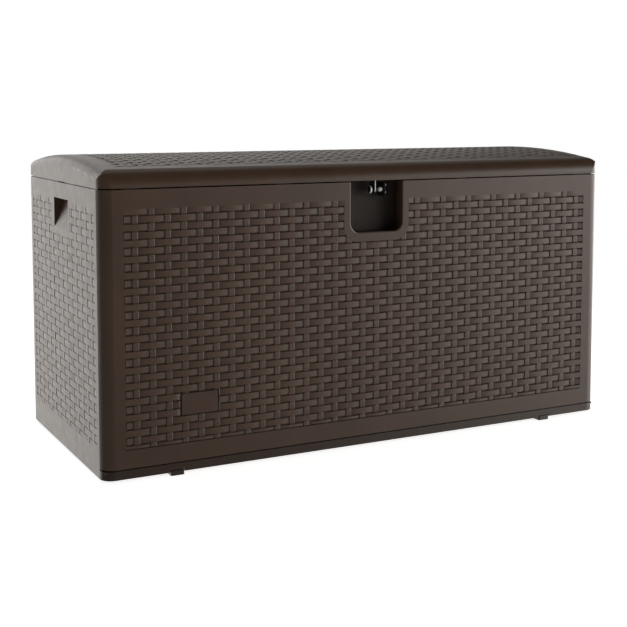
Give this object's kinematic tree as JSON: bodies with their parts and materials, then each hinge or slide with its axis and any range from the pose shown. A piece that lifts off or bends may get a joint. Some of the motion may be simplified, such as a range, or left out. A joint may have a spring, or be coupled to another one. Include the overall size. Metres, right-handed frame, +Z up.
{
  "type": "deck storage box",
  "caption": "Rectangular outdoor resin storage box with woven-look walls, an arched lid on a rear hinge rod, gas struts and a front latch.",
  "frame": {"origin": "on the ground, under the centre of the box's bounding box", "axes": "+Z up, +X along the length to the right as seen from the front, and the latch faces -Y"},
  "size_m": [1.38, 0.628, 0.715],
  "materials": {
    "resin": "satin moulded resin, espresso brown",
    "dark_plastic": "matt black plastic",
    "rubber": "soft black rubber",
    "steel": "bright stainless steel",
    "zinc": "zinc plated",
    "black_metal": "black paint, satin"
  },
  "bodies": {
    "box": {"base_panel": "resin", "front_panel": "resin", "rear_panel": "resin", "left_side_panel": "resin", "right_side_panel": "resin", "front_feet": "resin", "rear_feet": "resin", "label_plate": "resin", "panel_screws": "zinc", "hinge_rod": "steel", "hinge_rod_caps": "dark_plastic", "keeper_plate": "black_metal", "keeper_screws": "zinc", "bracket_screws": "zinc", "left_strut_bracket": "black_metal", "right_strut_bracket": "black_metal"},
    "lid": {"lid_shell": "resin", "lid_liner": "resin", "liner_screws": "zinc", "lid_bumpers": "rubber", "hasp_plate": "steel", "hasp_screws": "zinc", "stud_screws": "zinc", "left_lid_stud": "black_metal", "right_lid_stud": "black_metal"},
    "latch_pin": {"lock_pin": "steel"},
    "left_cylinder": {"left_strut_tube": "black_metal", "left_strut_eye": "black_metal"},
    "left_piston": {"left_strut_rod": "steel", "left_rod_end": "black_metal"},
    "right_cylinder": {"right_strut_tube": "black_metal", "right_strut_eye": "black_metal"},
    "right_piston": {"right_strut_rod": "steel", "right_rod_end": "black_metal"}
  },
  "joints": [
    {"name": "lid_hinge", "type": "hinge", "parent": "box", "child": "lid", "pos_m": [0, 0.306, 0.6515], "axis": [-1, 0, 0], "range_deg": [0, 95]},
    {"name": "lock_pin_slide", "type": "slide", "parent": "lid", "child": "latch_pin", "axis": [1, 0, 0], "range_m": [0, 0.005]},
    {"name": "left_strut_swing", "type": "hinge", "parent": "box", "child": "left_cylinder", "pos_m": [-0.655, 0.216, 0.4415], "axis": [-1, 0, 0], "range_deg": [0, 13.68]},
    {"name": "left_strut_slide", "type": "slide", "parent": "left_cylinder", "child": "left_piston", "axis": [0, 0.0504, 0.9987], "range_m": [0, 0.10676]},
    {"name": "right_strut_swing", "type": "hinge", "parent": "box", "child": "right_cylinder", "pos_m": [0.655, 0.216, 0.4415], "axis": [-1, 0, 0], "range_deg": [0, 13.68]},
    {"name": "right_strut_slide", "type": "slide", "parent": "right_cylinder", "child": "right_piston", "axis": [0, 0.0504, 0.9987], "range_m": [0, 0.10676]}
  ],
  "couplings": [
    {"joint": "left_strut_swing", "follows": "lid_hinge", "ratio": 0.14114},
    {"joint": "left_strut_slide", "follows": "lid_hinge", "m_per_rad": 0.063125},
    {"joint": "right_strut_swing", "follows": "lid_hinge", "ratio": 0.14114},
    {"joint": "right_strut_slide", "follows": "lid_hinge", "m_per_rad": 0.063125}
  ]
}
